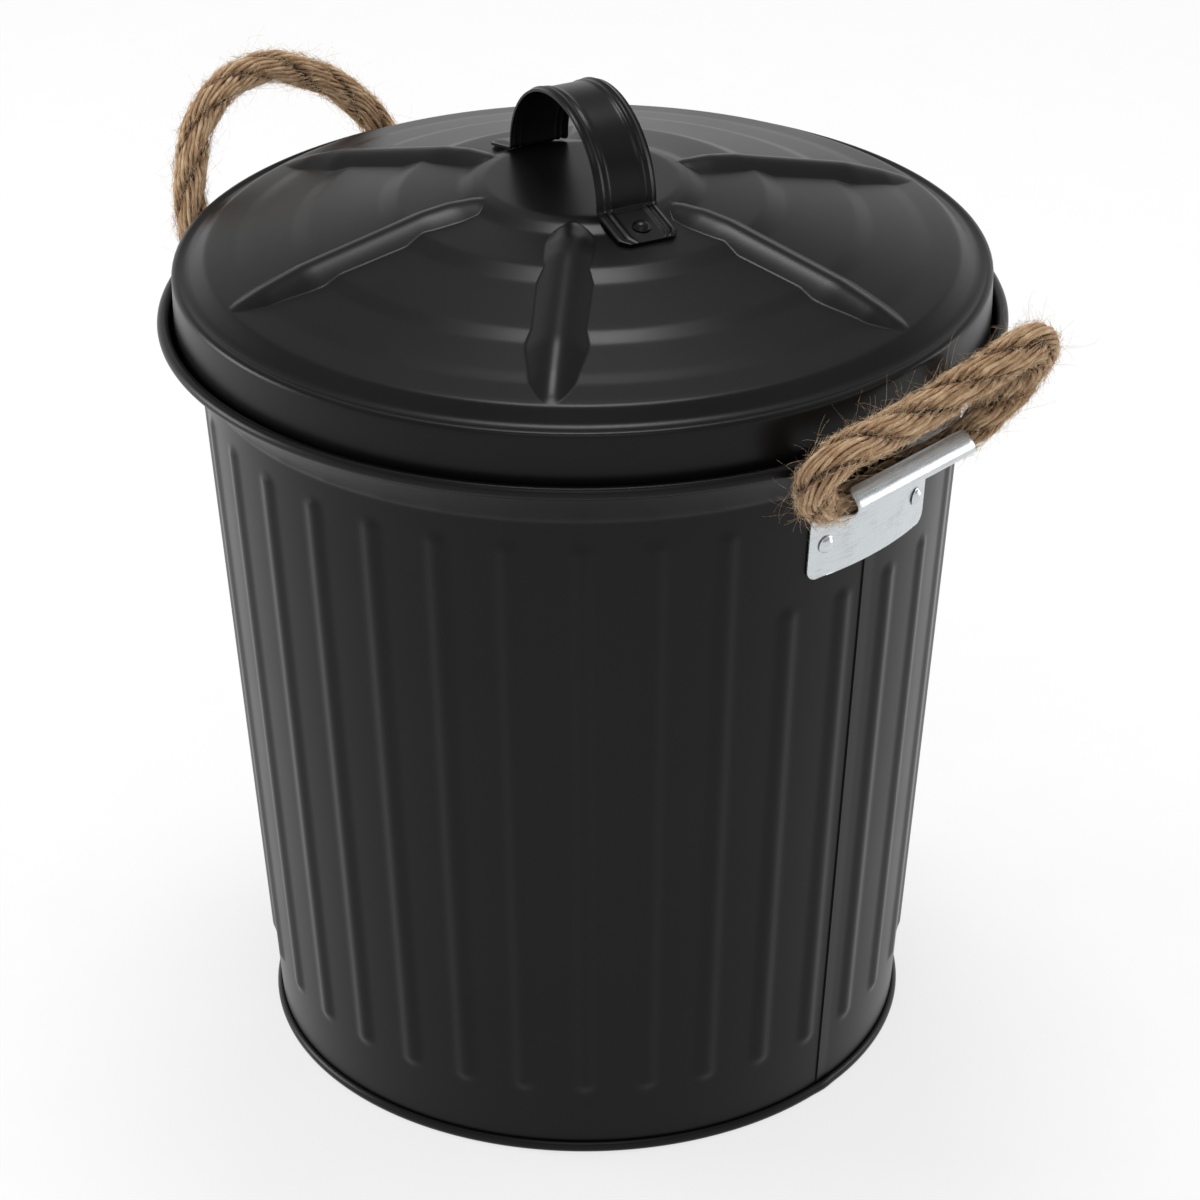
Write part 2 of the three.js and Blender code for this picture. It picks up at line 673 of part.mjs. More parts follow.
const bracketNeck = SHEET + BRACKET_SHEET + 3 * GAP;
bracketRivetPlaces().forEach(({ onWall, normal, turn }, i) => {
  const name = ["right_1", "right_2", "left_1", "left_2"][i];
  const made = mesh(`bracket_rivet_${name}`, rivet(bracketNeck), GALVANIZED);
  made.position.copy(onWall).addScaledVector(normal, -SHEET - GAP);
  made.quaternion.copy(turn);
  can.add(made);
});
[
  ["right", 0, ROPE_RIGHT],
  ["left", Math.PI, ROPE_LEFT],
].forEach(([side, angle, route]) => {
  const group = new THREE.Group();
  group.rotation.z = angle;
  group.add(mesh(`bracket_${side}`, bracket(), GALVANIZED));
  group.add(mesh(`rope_handle_${side}`, rope(route), JUTE));
  can.add(group);
});

const lid = new THREE.Group();
lid.position.z = LID_LIP_Z;
lid.add(mesh("lid_shell", lidShell(), PAINT));
const strap = new THREE.Group();
strap.rotation.z = radians(STRAP_ANGLE);
strap.add(mesh("lid_handle", lidHandle(), PAINT));
strapRivetPlaces().forEach(({ onFoot, normal, turn }, i) => {
  const underFoot = footUnderside(LID_RIVET_RADIUS) - lidHeight(LID_RIVET_RADIUS) + SHEET + 2 * GAP;
  const made = mesh(`lid_rivet_${i + 1}`, rivet(underFoot + STRAP_SHEET + GAP), PAINT);
  made.position.copy(onFoot).addScaledVector(normal, -underFoot);
  made.quaternion.copy(turn);
  strap.add(made);
});
lid.add(strap);

const bin = new THREE.Group();
bin.add(can, lid);

export default bin;
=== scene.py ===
import math
import random

import bmesh
import bpy
from mathutils import Matrix, Vector, noise


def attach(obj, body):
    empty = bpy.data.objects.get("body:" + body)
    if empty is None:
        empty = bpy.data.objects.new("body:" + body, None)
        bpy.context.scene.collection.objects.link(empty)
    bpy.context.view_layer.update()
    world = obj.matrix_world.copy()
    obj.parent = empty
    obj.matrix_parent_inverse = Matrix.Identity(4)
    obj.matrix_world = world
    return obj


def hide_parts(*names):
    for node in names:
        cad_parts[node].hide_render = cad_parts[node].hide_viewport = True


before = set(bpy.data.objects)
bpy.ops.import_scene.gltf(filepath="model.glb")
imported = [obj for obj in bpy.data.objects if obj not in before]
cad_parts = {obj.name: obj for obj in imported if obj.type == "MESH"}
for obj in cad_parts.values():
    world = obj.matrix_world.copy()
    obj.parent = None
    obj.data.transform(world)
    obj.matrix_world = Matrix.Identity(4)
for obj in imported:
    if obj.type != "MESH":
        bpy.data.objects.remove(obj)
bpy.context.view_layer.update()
MM = 0.001
TURN = 2 * math.pi

# ---------------------------------------------------------------- camera, as the photograph's

PHOTO_TURN = math.radians(42.6)  # from the photograph's frame, looking along +Y, to the part's
CAMERA_AT = Vector((3.716, -1316.07, 873.4)) * MM
CAMERA_PITCH = math.radians(28.364)
CAMERA_YAW = math.radians(0.083)
CAMERA_ROLL = math.radians(-0.252)
CAMERA_LENS = 122.08  # on a 36 mm sensor


def make_camera():
    """The photograph's camera, which looks down at the bin over its front right."""
    level = math.cos(CAMERA_PITCH)
    forward = Vector((math.sin(CAMERA_YAW) * level, math.cos(CAMERA_YAW) * level, -math.sin(CAMERA_PITCH)))
    right = Vector((math.cos(CAMERA_YAW), -math.sin(CAMERA_YAW), 0))
    up = right.cross(forward)
    right, up = (
        math.cos(CAMERA_ROLL) * right + math.sin(CAMERA_ROLL) * up,
        math.cos(CAMERA_ROLL) * up - math.sin(CAMERA_ROLL) * right,
    )
    turn = Matrix((right, up, -forward)).transposed().to_4x4()
    data = bpy.data.cameras.new("camera")
    data.lens = CAMERA_LENS
    data.sensor_width = 36
    camera = bpy.data.objects.new("camera", data)
    bpy.context.scene.collection.objects.link(camera)
    camera.matrix_world = Matrix.Rotation(PHOTO_TURN, 4, "Z") @ Matrix.Translation(CAMERA_AT) @ turn
    bpy.context.scene.camera = camera


make_camera()

# ---------------------------------------------------------------- sizes shared with the CAD

SHEET = 0.7  # of the can and the lid
GAP = 0.3  # clearance between pieces that touch
RIM_RADIUS = 150
RIM_Z = 281.5
RIM_BEAD = 2.33  # radius of the roll
RIM_WRAP = 290  # degrees that the roll turns
FOOT_RADIUS = 116.75
TAPER = 0.0692  # growth of the wall's radius with height
FLARE_Z = 264.6
WALL_FOOT_Z = 1.5
FLUTES = 34
FLUTE_HEIGHT = 1.05
FLUTE_HALF = 5.0
FLUTE_FOOT_Z = 25.5
FLUTE_TOP_Z = 257
FLUTE_TOP_Z_SHORT = 221  # under the brackets
SEAM_ANGLE = -1.5
BASE_BEAD = 2.3
PAN_RISE = 6  # height of the bottom over the floor
BRACKET_WIDTH = 62
BRACKET_SHEET = 0.9
LID_LIP_Z = 300
LID_RADIUS = 144.06
LID_STEPS = [  # radius and height over the lip
    (0, 30),
    (34, 29.8),
    (38.3, 28.9),
    (43.3, 26.6),
    (64.2, 24),
    (71.3, 20.9),
    (95.6, 15.2),
    (101.5, 12.8),
    (116.3, 9.2),
    (121.5, 7.7),
    (132.5, 5.5),
    (138, 1),
    (140.4, 0.3),
]
RIB_CREST = [  # radius and height over the lip
    (36.5, 28.9),
    (40, 29.4),
    (50, 29.4),
    (60, 28),
    (72, 25),
    (105, 16.8),
    (120, 11.3),
    (129, 7.2),
    (132, 5.3),
]
RIB_ROUND = 3.4  # how softly a rib's crest turns into its flanks
RIB_SLOPE = 0.72  # slope of the flanks
RIBS = 6
RIB_ANGLE = 8
STRAP_ANGLE = math.radians(-20.8)
STRAP_WIDTH = 22.6
STRAP_SHEET = 0.9
STRAP_HALF_SPAN = 34.4
STRAP_TOP = 62.6  # height over the lid's lip
STRAP_BEND = 1.5
STRAP_FOOT_END = 53
STRAP_CHAMFER = 3
STRAP_BEADS = ((9.25, 0.75, 0.75), (6.9, 0.5, 0.7))  # distance from the middle, height, half width
LID_RIVET_RADIUS = 45
ROPE_AXIS = (142, 262.6)  # of the rope inside its bracket: distance from the can's axis and height

# The ropes' routes, as in the CAD: outward, along the bracket and up, from the bracket's middle
ROPE_RIGHT = [
    (0, -0.6, 0),
    (0, -16, 0),
    (0, -30, 0),
    (0.8, -39, 2.6),
    (4.6, -48, 11.4),
    (9.8, -51.2, 21.8),
    (12.9, -44.5, 27.6),
    (14.6, -30.5, 28.8),
    (16.1, -14, 30.3),
    (19, -0.4, 33.6),
    (22.8, 12.4, 38),
    (27.6, 23, 43.4),
    (31.2, 31, 47.3),
    (29, 38.5, 42.8),
    (19.8, 45.2, 29.2),
    (11, 47.4, 17),
    (4.4, 44.5, 7.4),
    (0.8, 38.5, 2),
    (0, 30, 0),
    (0, 16, 0),
    (0, 0.6, 0),
]
ROPE_LEFT = [
    (0, 0.6, 0),
    (0, 16, 0),
    (0, 30, 0),
    (1, 39.5, 2.4),
    (4.6, 46, 10.3),
    (8.8, 47.8, 19.8),
    (13, 44.8, 29.2),
    (18.4, 38.6, 41.3),
    (23.4, 29, 52.6),
    (26.7, 15.5, 60),
    (28, 0.5, 62.9),
    (27.4, -13, 61.6),
    (24.9, -27, 55.9),
    (20.9, -40, 47),
    (15.9, -50, 35.7),
    (11.3, -53.6, 25.4),
    (6.2, -51.8, 13.9),
    (1.8, -43.5, 4),
    (0, -30, 0),
    (0, -16, 0),
    (0, -0.6, 0),
]

# ---------------------------------------------------------------- materials


def linear(code):
    """An sRGB hex colour as linear RGBA."""
    parts = [int(code[i : i + 2], 16) / 255 for i in (1, 3, 5)]
    return [c / 12.92 if c <= 0.04045 else ((c + 0.055) / 1.055) ** 2.4 for c in parts] + [1]


def add(tree, kind, links=None, **settings):
    """A node of a kind with its settings, and links from other nodes' sockets to its inputs."""
    node = tree.nodes.new(kind)
    for key, value in settings.items():
        if hasattr(node, key):
            setattr(node, key, value)
        else:
            node.inputs[key.replace("_", " ")].default_value = value
    for name, source in (links or {}).items():
        tree.links.new(source, node.inputs[name])
    return node


def material(name):
    """A new material with its node tree and its shader."""
    made = bpy.data.materials.new(name)
    made.use_nodes = True
    tree = made.node_tree
    shader = tree.nodes["Principled BSDF"]
    return made, tree, shader


def ramp(tree, source, stops):
    """A colour ramp over a value, with its stops as (place, hex colour)."""
    node = add(tree, "ShaderNodeValToRGB", {"Fac": source})
    elements = node.color_ramp.elements
    while len(elements) < len(stops):
        elements.new(0.5)
    for element, (place, code) in zip(elements, stops):
        element.position = place
        element.color = linear(code)
    return node.outputs["Color"]


def powder_coat():
    """Satin black powder coat on steel: near-black, soft broad reflections, faint orange peel."""
    made, tree, shader = material("powder_coated_steel_black")
    place = add(tree, "ShaderNodeTexCoord").outputs["Object"]
    peel = add(tree, "ShaderNodeTexNoise", {"Vector": place}, Scale=1 / (1.6 * MM), Detail=2.0)
    cloud = add(tree, "ShaderNodeTexNoise", {"Vector": place}, Scale=1 / (45 * MM), Detail=3.0)
    tint = ramp(tree, cloud.outputs["Fac"], [(0.3, "#09090a"), (0.7, "#0c0c0d")])
    rough = add(tree, "ShaderNodeMapRange", {"Value": cloud.outputs["Fac"]}, To_Min=0.29, To_Max=0.36)
    bump = add(tree, "ShaderNodeBump", {"Height": peel.outputs["Fac"]}, Strength=0.035, Distance=0.3 * MM)
    tree.links.new(tint, shader.inputs["Base Color"])
    tree.links.new(rough.outputs["Result"], shader.inputs["Roughness"])
    tree.links.new(bump.outputs["Normal"], shader.inputs["Normal"])
    shader.inputs["Specular IOR Level"].default_value = 0.175
    return made


def bare_zinc(name, rough_low, rough_high):
    """Bare galvanized sheet: pale, dull zinc with fine rolling marks and a very faint spangle."""
    made, tree, shader = material(name)
    place = add(tree, "ShaderNodeTexCoord").outputs["Object"]
    drawn = add(tree, "ShaderNodeMapping", {"Vector": place})
    drawn.inputs["Scale"].default_value = (1 / (1.2 * MM), 1 / (12 * MM), 1 / (0.5 * MM))
    marks = add(tree, "ShaderNodeTexNoise", {"Vector": drawn.outputs["Vector"]}, Scale=1.0, Detail=3.0)
    cloud = add(tree, "ShaderNodeTexNoise", {"Vector": place}, Scale=1 / (9 * MM), Detail=3.0)
    both = add(tree, "ShaderNodeMath", {0: marks.outputs["Fac"], 1: cloud.outputs["Fac"]}, operation="ADD")
    tint = ramp(tree, both.outputs[0], [(0.7, "#bcc1c4"), (1.0, "#cbd0d3")])
    rough = add(tree, "ShaderNodeMapRange", {"Value": marks.outputs["Fac"]})
    rough.inputs["To Min"].default_value = rough_low
    rough.inputs["To Max"].default_value = rough_high
    bump = add(tree, "ShaderNodeBump", {"Height": marks.outputs["Fac"]}, Strength=0.1, Distance=0.05 * MM)
    tree.links.new(tint, shader.inputs["Base Color"])
    tree.links.new(rough.outputs["Result"], shader.inputs["Roughness"])
    tree.links.new(bump.outputs["Normal"], shader.inputs["Normal"])
    shader.inputs["Metallic"].default_value = 0.9
    return made


def jute_yarn():
    """Spun jute: dry golden-brown fibres that wind round each yarn, with painted shade where the yarns sink
    in.
    """
    made, tree, shader = material("jute_yarn_natural")
    flow = add(tree, "ShaderNodeUVMap", uv_map="flow").outputs["UV"]
    fine = add(tree, "ShaderNodeMapping", {"Vector": flow})
    fine.inputs["Scale"].default_value = (1 / (0.32 * MM), 1 / (6 * MM), 1)
    fibre = add(tree, "ShaderNodeTexNoise", {"Vector": fine.outputs["Vector"]}, Scale=1.0, Detail=4.0)
    place = add(tree, "ShaderNodeTexCoord").outputs["Object"]
    patch = add(tree, "ShaderNodeTexNoise", {"Vector": place}, Scale=1 / (6 * MM), Detail=4.0)
    # painted shade from the mesh, darker towards the rope's middle, times a random tone for each yarn; the
    # ramp's dark stops carry it
    depth = add(tree, "ShaderNodeAttribute", attribute_name="tone_and_painted_shade").outputs["Fac"]
    mixed = add(tree, "ShaderNodeMath", {0: fibre.outputs["Fac"], 1: patch.outputs["Fac"]}, operation="ADD")
    fibre_with_painted_shade = add(tree, "ShaderNodeMath", {0: mixed.outputs[0], 1: depth}, operation="MULTIPLY")
    stops = [(0.16, "#463425"), (0.4, "#826348"), (0.62, "#ac8a68"), (0.85, "#d6bc99")]
    tint = ramp(tree, fibre_with_painted_shade.outputs[0], stops)
    bump = add(tree, "ShaderNodeBump", {"Height": fibre.outputs["Fac"]}, Strength=0.8, Distance=0.3 * MM)
    tree.links.new(tint, shader.inputs["Base Color"])
    tree.links.new(bump.outputs["Normal"], shader.inputs["Normal"])
    shader.inputs["Roughness"].default_value = 0.9
    shader.inputs["Specular IOR Level"].default_value = 0.2
    shader.inputs["Sheen Weight"].default_value = 0.15
    return made


def jute_fibre():
    """Single loose jute fibres: straw-brown, from pale to dark."""
    made, tree, shader = material("jute_fibre_loose")
    place = add(tree, "ShaderNodeTexCoord").outputs["Object"]
    patch = add(tree, "ShaderNodeTexNoise", {"Vector": place}, Scale=1 / (2.5 * MM))
    tint = ramp(tree, patch.outputs["Fac"], [(0.3, "#866a4b"), (0.48, "#ba9b77"), (0.66, "#e6d3b2")])
    tree.links.new(tint, shader.inputs["Base Color"])
    shader.inputs["Roughness"].default_value = 0.6
    return made


def paper_floor():
    """White paper sweep: matt and almost even."""
    made, tree, shader = material("white_paper_sweep")
    place = add(tree, "ShaderNodeTexCoord").outputs["Object"]
    grain = add(tree, "ShaderNodeTexNoise", {"Vector": place}, Scale=1 / (30 * MM))
    tint = ramp(tree, grain.outputs["Fac"], [(0.3, "#f7f7f7"), (0.7, "#fafafa")])
    tree.links.new(tint, shader.inputs["Base Color"])
    shader.inputs["Roughness"].default_value = 0.95
    # The white of the photograph's background, seen and mirrored, over a share of the shadow
    ray = add(tree, "ShaderNodeLightPath").outputs
    seen = add(tree, "ShaderNodeMath", {0: ray["Is Camera Ray"], 1: ray["Is Glossy Ray"]}, operation="ADD")
    seen = add(tree, "ShaderNodeMath", {0: seen.outputs[0], 1: ray["Is Transmission Ray"]}, operation="ADD")
    share = add(tree, "ShaderNodeMath", {0: seen.outputs[0]}, operation="MULTIPLY")
    share.inputs[1].default_value = 0.7
    white = add(tree, "ShaderNodeEmission", Color=linear("#ffffff"), Strength=1.0)
    mix = add(tree, "ShaderNodeMixShader", {0: share.outputs[0], 1: shader.outputs[0], 2: white.outputs[0]})
    tree.links.new(mix.outputs[0], tree.nodes["Material Output"].inputs["Surface"])
    return made


BLACK = powder_coat()
ZINC = bare_zinc("galvanized_steel_bare", 0.2, 0.32)
ZINC_RIVET = bare_zinc("galvanized_steel_rivet", 0.1, 0.18)
JUTE = jute_yarn()
FIBRE = jute_fibre()

# ---------------------------------------------------------------- mesh helpers


def finish_mesh(bm, name, look, sharp=35):
    """A bmesh in millimetres as an object in metres with smooth faces and sharp creases."""
    mesh = bpy.data.meshes.new(name)
    bmesh.ops.scale(bm, vec=(MM, MM, MM), verts=bm.verts)
    bm.to_mesh(mesh)
    bm.free()
    mesh.materials.append(look)
    mesh.shade_smooth()
    mesh.set_sharp_from_angle(angle=math.radians(sharp))
    made = bpy.data.objects.new(name, mesh)
    bpy.context.scene.collection.objects.link(made)
    return made


def placed(piece, body, slot, *nodes):
    """Hands a piece over: the body it rides on and the CAD nodes it stands for, which are hidden. The
    material slot is not used.
    """
    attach(piece, body)
    if nodes:
        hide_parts(*nodes)
    return piece


def arc(centre, radius, start, end, steps):
    """Points of a circle's arc, from one angle in degrees to another."""
    angles = [math.radians(start + (end - start) * i / steps) for i in range(steps + 1)]
    return [(centre[0] + radius * math.cos(a), centre[1] + radius * math.sin(a)) for a in angles]


def rounded(points, cut, steps=4):
    """A line whose corners are rounded over at most a length of cut on each side."""
    line = [points[0]]
    for before, corner, after in zip(points, points[1:], points[2:]):
        before, corner, after = Vector(before), Vector(corner), Vector(after)
        into = (corner - before).normalized() * min(cut, (corner - before).length * 0.45)
        out = (after - corner).normalized() * min(cut, (after - corner).length * 0.45)
        for i in range(steps + 1):
            t = i / steps
            line.append(tuple(corner - into * (1 - t) ** 2 + out * t**2))
    line.append(points[-1])
    return line


def left_steps(line):
    """Sideways unit steps to the left of a line, lengthened at its corners."""
    steps = []
    for i, point in enumerate(line):
        before = Vector(line[max(i - 1, 0)])
        after = Vector(line[min(i + 1, len(line) - 1)])
        into = (Vector(point) - before).normalized() if i else (after - Vector(point)).normalized()
        out = (after - Vector(point)).normalized() if i < len(line) - 1 else into
        mean = (into + out).normalized()
        steps.append(Vector((-mean.y, mean.x)) / max(mean.dot(out), 0.5))
    return steps


def offset(line, distance):
    """A line moved sideways by a distance to its left."""
    return [tuple(Vector(p) + s * distance) for p, s in zip(line, left_steps(line))]


def spun(profile, steps, closed=True):
    """A profile of radius and height turned about the z axis. If closed, its ends are joined."""
    bm = bmesh.new()
    rings = []
    for radius, z in profile:
        angles = [TURN * k / steps for k in range(1 if radius == 0 else steps)]
        rings.append([bm.verts.new((radius * math.cos(a), radius * math.sin(a), z)) for a in angles])
    if closed:
        rings.append(rings[0])
    for lower, upper in zip(rings, rings[1:]):
        for k in range(steps):
            j = (k + 1) % steps
            corners = [lower[k % len(lower)], lower[j % len(lower)]]
            corners += [upper[j % len(upper)], upper[k % len(upper)]]
            bm.faces.new(dict.fromkeys(corners))
    bmesh.ops.recalc_face_normals(bm, faces=bm.faces)
    return bm


def skin_of(rows, wrap=False):
    """A bmesh from rows of points, with the rows joined and, if wrap, each row closed on itself."""
    bm = bmesh.new()
    made = [[bm.verts.new(p) for p in row] for row in rows]
    count = len(rows[0])
    for lower, upper in zip(made, made[1:]):
        for i in range(count if wrap else count - 1):
            j = (i + 1) % count
            bm.faces.new((lower[i], lower[j], upper[j], upper[i]))
    if wrap:
        bm.faces.new(made[0][::-1])
        bm.faces.new(made[-1])
    return bm


def filled(line, step):
    """A line with points added so that none of its stretches is longer than step."""
    dense = [line[0]]
    for before, after in zip(line, line[1:]):
        before, after = Vector(before), Vector(after)
        count = math.ceil((after - before).length / step)
        dense += [tuple(before.lerp(after, (i + 1) / count)) for i in range(count)]
    return dense


def interpolate(table, x, column):
    """A value from a table's column at x, straight between its rows."""
    for low, high in zip(table, table[1:]):
        if x <= high[0]:
            share = max(0.0, (x - low[0]) / (high[0] - low[0]))
            return low[column] + (high[column] - low[column]) * share
    return table[-1][column]


# ---------------------------------------------------------------- rope handles


def smooth_route(route, spacing):
    """Even points along a centripetal Catmull-Rom curve through a route."""
    points = [Vector(p) for p in route]
    points = [points[0] * 2 - points[1]] + points + [points[-1] * 2 - points[-2]]
    dense = []
    for p0, p1, p2, p3 in zip(points, points[1:], points[2:], points[3:]):
        t1 = (p1 - p0).length ** 0.5
        t2 = t1 + (p2 - p1).length ** 0.5
        t3 = t2 + (p3 - p2).length ** 0.5
        for i in range(24):
            t = t1 + (t2 - t1) * i / 24
            a1 = p0.lerp(p1, t / t1)
            a2 = p1.lerp(p2, (t - t1) / (t2 - t1))
            a3 = p2.lerp(p3, (t - t2) / (t3 - t2))
            b1 = a1.lerp(a2, t / t2)
            b2 = a2.lerp(a3, (t - t1) / (t3 - t1))
            dense.append(b1.lerp(b2, (t - t1) / (t2 - t1)))
    dense.append(points[-2])
    total = sum((b - a).length for a, b in zip(dense, dense[1:]))
    count = round(total / spacing)
    line, walked, target = [dense[0]], 0.0, total / count
    for a, b in zip(dense, dense[1:]):
        step = (b - a).length
        while walked + step >= target - 1e-9 and len(line) <= count:
            line.append(a.lerp(b, (target - walked) / step))
            target += total / count
        walked += step
    return line, total


def frames_along(line):
    """Two sideways directions at each point of a line that turn with it and don't twist."""
    side = Vector((0, 0, 1))
    frames = []
    for i in range(len(line)):
        ahead = (line[min(i + 1, len(line) - 1)] - line[max(i - 1, 0)]).normalized()
        side = (side - ahead * side.dot(ahead)).normalized()
        frames.append((side.copy(), ahead.cross(side)))
    return frames


ROPE_DIAMETER = 12
ROPE_STEP = 0.9  # between the rope's cross-sections
STRANDS = 3
LAY = 66  # length of one turn of the strands
STRAND_OFFSET = 3.05  # from the rope's middle to a strand's
YARNS = 11  # yarns that show round a strand
YARN_LAY = 31  # length of one turn of the yarns round their strand, the other way
YARN_OFFSET = 2.25  # from a strand's middle to a yarn's
YARN_SPREAD = 0.75  # how much further out they lie at the strand's sides
YARN_RADIUS = 0.69
CORE_RADIUS = 3.2  # of the core between the strands, coloured dark as painted shade
STRAND_CORE_RADIUS = 2.35  # of the core within a strand, coloured dark as painted shade
FIBRE_TURN = 14  # length of one turn of the fibres round their yarn
HELD = 33  # from each end to where the rope leaves its bracket
OPENING = 12  # length over which the rope opens up outside
PRESSED = 0.84  # size of the rope inside its bracket
FIBRES = 7400  # loose fibres on each rope


def rope(name, route, side, bulk):
    """A laid rope in the CAD's place: three strands of yarns over cores coloured dark as painted shade.

    The yarns turn against the strands, so that they lie along the rope where they show.
    Its free stretch is bulk times as thick as the CAD's.
    """
    line, length = smooth_route(route, ROPE_STEP)
    world = [
        Vector((side * (ROPE_AXIS[0] + p.x), side * p.y, ROPE_AXIS[1] + p.z)) for p in line
    ]
    frames = frames_along(world)
    bm = bmesh.new()
    flow = bm.loops.layers.uv.new("flow")
    tone_and_painted_shade = bm.verts.layers.float.new("tone_and_painted_shade")
    fuller = []
    for i in range(len(world)):
        free = min(i, len(world) - 1 - i) * ROPE_STEP - HELD
        fuller.append(PRESSED + (bulk - PRESSED) * min(max(free / OPENING, 0), 1))

    def tube(seed, around, centre_of, radius_of, light):
        """One yarn or core. Painted shade darkens it towards the rope's middle, where light doesn't reach.
        """
        rings = []
        for i, (point, (u, v)) in enumerate(zip(world, frames)):
            along = ROPE_STEP * i
            across, up = centre_of(along)
            ring = []
            for k in range(around):
                angle = TURN * k / around
                rough = 1 + 0.12 * noise.noise(Vector((2 * math.cos(angle), seed * 3.7, along * 0.5)))
                radius = radius_of(along) * rough
                spot = (across + radius * math.cos(angle), up + radius * math.sin(angle))
                vert = bm.verts.new(point + (u * spot[0] + v * spot[1]) * fuller[i])
                # painted shade: the nearer a point lies to the rope's middle, the darker it is; light is a
                # yarn's random tone or a core's painted shade
                depth = math.hypot(*spot) / (ROPE_DIAMETER / 2)
                vert[tone_and_painted_shade] = 0.76 * light * min(1.0, max(0.15, depth * 2.3 - 1.15))
                ring.append(vert)
            rings.append(ring)
        for i, (lower, upper) in enumerate(zip(rings, rings[1:])):
            for k in range(around):
                j = (k + 1) % around
                face = bm.faces.new((lower[k], lower[j], upper[j], upper[k]))
                corners = ((k, i), (k + 1, i), (k + 1, i + 1), (k, i + 1))
                for loop, (a, b) in zip(face.loops, corners):
                    spin = a / around + b * ROPE_STEP / FIBRE_TURN
                    loop[flow].uv = ((spin + seed) * 6.5 * MM, (b * ROPE_STEP + seed * 31) * MM)
        bm.faces.new(rings[0][::-1])
        bm.faces.new(rings[-1])

    def strand_turn(along, strand):
        """How far a strand has turned round the rope, a little unevenly."""
        wander = 0.4 * noise.noise(Vector((along * 0.02, side * 5.3, 0.0)))
        return TURN * (along / LAY + strand / STRANDS) + wander

    # the core between the strands, where only shade falls, is darkened as painted shade
    tube(0, 6, lambda along: (0, 0), lambda along: CORE_RADIUS, 0.4)
    for strand in range(STRANDS):

        def strand_middle(along, strand=strand):
            lay = strand_turn(along, strand)
            return STRAND_OFFSET * math.cos(lay), STRAND_OFFSET * math.sin(lay)

        # the core within the strand is darkened as painted shade
        tube(90 + strand, 6, strand_middle, lambda along: STRAND_CORE_RADIUS, 0.6)
        for number in range(YARNS):
            seed = side * 40 + strand * YARNS + number + 1

            def centre_of(along, strand=strand, number=number, seed=seed):
                """A yarn's place in the rope's cross-section."""
                lay = strand_turn(along, strand)
                stray = 0.3 * noise.noise(Vector((along * 0.09, seed * 5.1, 9.0)))
                turn = TURN * (number / YARNS - along / YARN_LAY) + stray
                reach = YARN_OFFSET + YARN_SPREAD * math.sin(turn) ** 2
                reach += 0.45 * noise.noise(Vector((along * 0.13, seed * 5.1, 0.0)))
                across, up = STRAND_OFFSET + reach * math.cos(turn), reach * math.sin(turn)
                return (
                    across * math.cos(lay) - up * math.sin(lay),
                    across * math.sin(lay) + up * math.cos(lay),
                )

            def radius_of(along, seed=seed):
                return YARN_RADIUS * (1 + 0.25 * noise.noise(Vector((along * 0.16, seed * 2.3, 4.0))))

            # a random tone for each yarn
            tube(seed, 7, centre_of, radius_of, 0.88 + 0.12 * math.sin(seed * 2.4))
    bmesh.ops.recalc_face_normals(bm, faces=bm.faces)
    return finish_mesh(bm, name, JUTE, 70), world, frames, length


def fibres(name, world, frames, seed, bulk):
    """Loose fibres: many short ones that cling to the rope and some long ones that stand off."""
    pick = random.Random(seed)
    bm = bmesh.new()
    skin = ROPE_DIAMETER / 2 * bulk
    free = math.ceil(HELD / ROPE_STEP) - 3
    for number in range(FIBRES):
        stands_off = number % 9 == 0
        i = pick.randrange(free, len(world) - free)
        u, v = frames[i]
        angle = pick.uniform(0, TURN)
        out = u * math.cos(angle) + v * math.sin(angle)
        ahead = (world[i + 1] - world[i - 1]).normalized() * pick.choice((-1, 1))
        across = out.cross(ahead)
        reach = pick.choice((4, 5, 6, 8, 10, 14)) if stands_off else pick.uniform(2.5, 7)
        lift = pick.uniform(0.3, 1.0) if stands_off else pick.uniform(0.02, 0.3)
        curl = pick.uniform(-1.5, 1.5)
        width = pick.uniform(0.03, 0.055) if stands_off else pick.uniform(0.05, 0.1)
        start = world[i] + out * (skin * pick.uniform(0.82, 0.99))
        spot, rings = start, []
        for step in range(5):
            t = step / 4
            swing = curl * (t + 0.3)
            lean = ahead * math.cos(swing) + across * math.sin(swing)
            rise = out * lift * (1.2 - t if not stands_off else 0.5 + 0.6 * math.sin(3 * t + curl))
            spot = spot + (lean + rise) * (reach / 5)
            thin = width * (1 - 0.5 * t)
            corners = [TURN * k / 3 for k in range(3)]
            rings.append([spot + (out * math.cos(c) + across * math.sin(c)) * thin for c in corners])
        verts = [[bm.verts.new(p) for p in ring] for ring in rings]
        for lower, upper in zip(verts, verts[1:]):
            for k in range(3):
                j = (k + 1) % 3
                bm.faces.new((lower[k], lower[j], upper[j], upper[k]))
        bm.faces.new(verts[0][::-1])
        bm.faces.new(verts[-1])
    bmesh.ops.recalc_face_normals(bm, faces=bm.faces)
    return finish_mesh(bm, name, FIBRE, 80)


def make_rope(name, route, side, seed, bulk):
    """A rope handle with its fibres, which goes into its bracket at both ends."""
    body = f"rope_{name}"
    tube, world, frames, length = rope(f"rope_{name}_strands", route, side, bulk)
    hairs = fibres(f"rope_{name}_fibres", world, frames, seed, bulk)
    placed(tube, body, "jute", f"rope_handle_{name}")
    placed(hairs, body, "jute")


make_rope("right", ROPE_RIGHT, 1, 11, 1.11)
make_rope("left", ROPE_LEFT, -1, 23, 1.02)

# ---------------------------------------------------------------- can wall


def wall_radius(z):
    """Radius of the wall's outside between the flutes."""
    return FOOT_RADIUS + TAPER * z


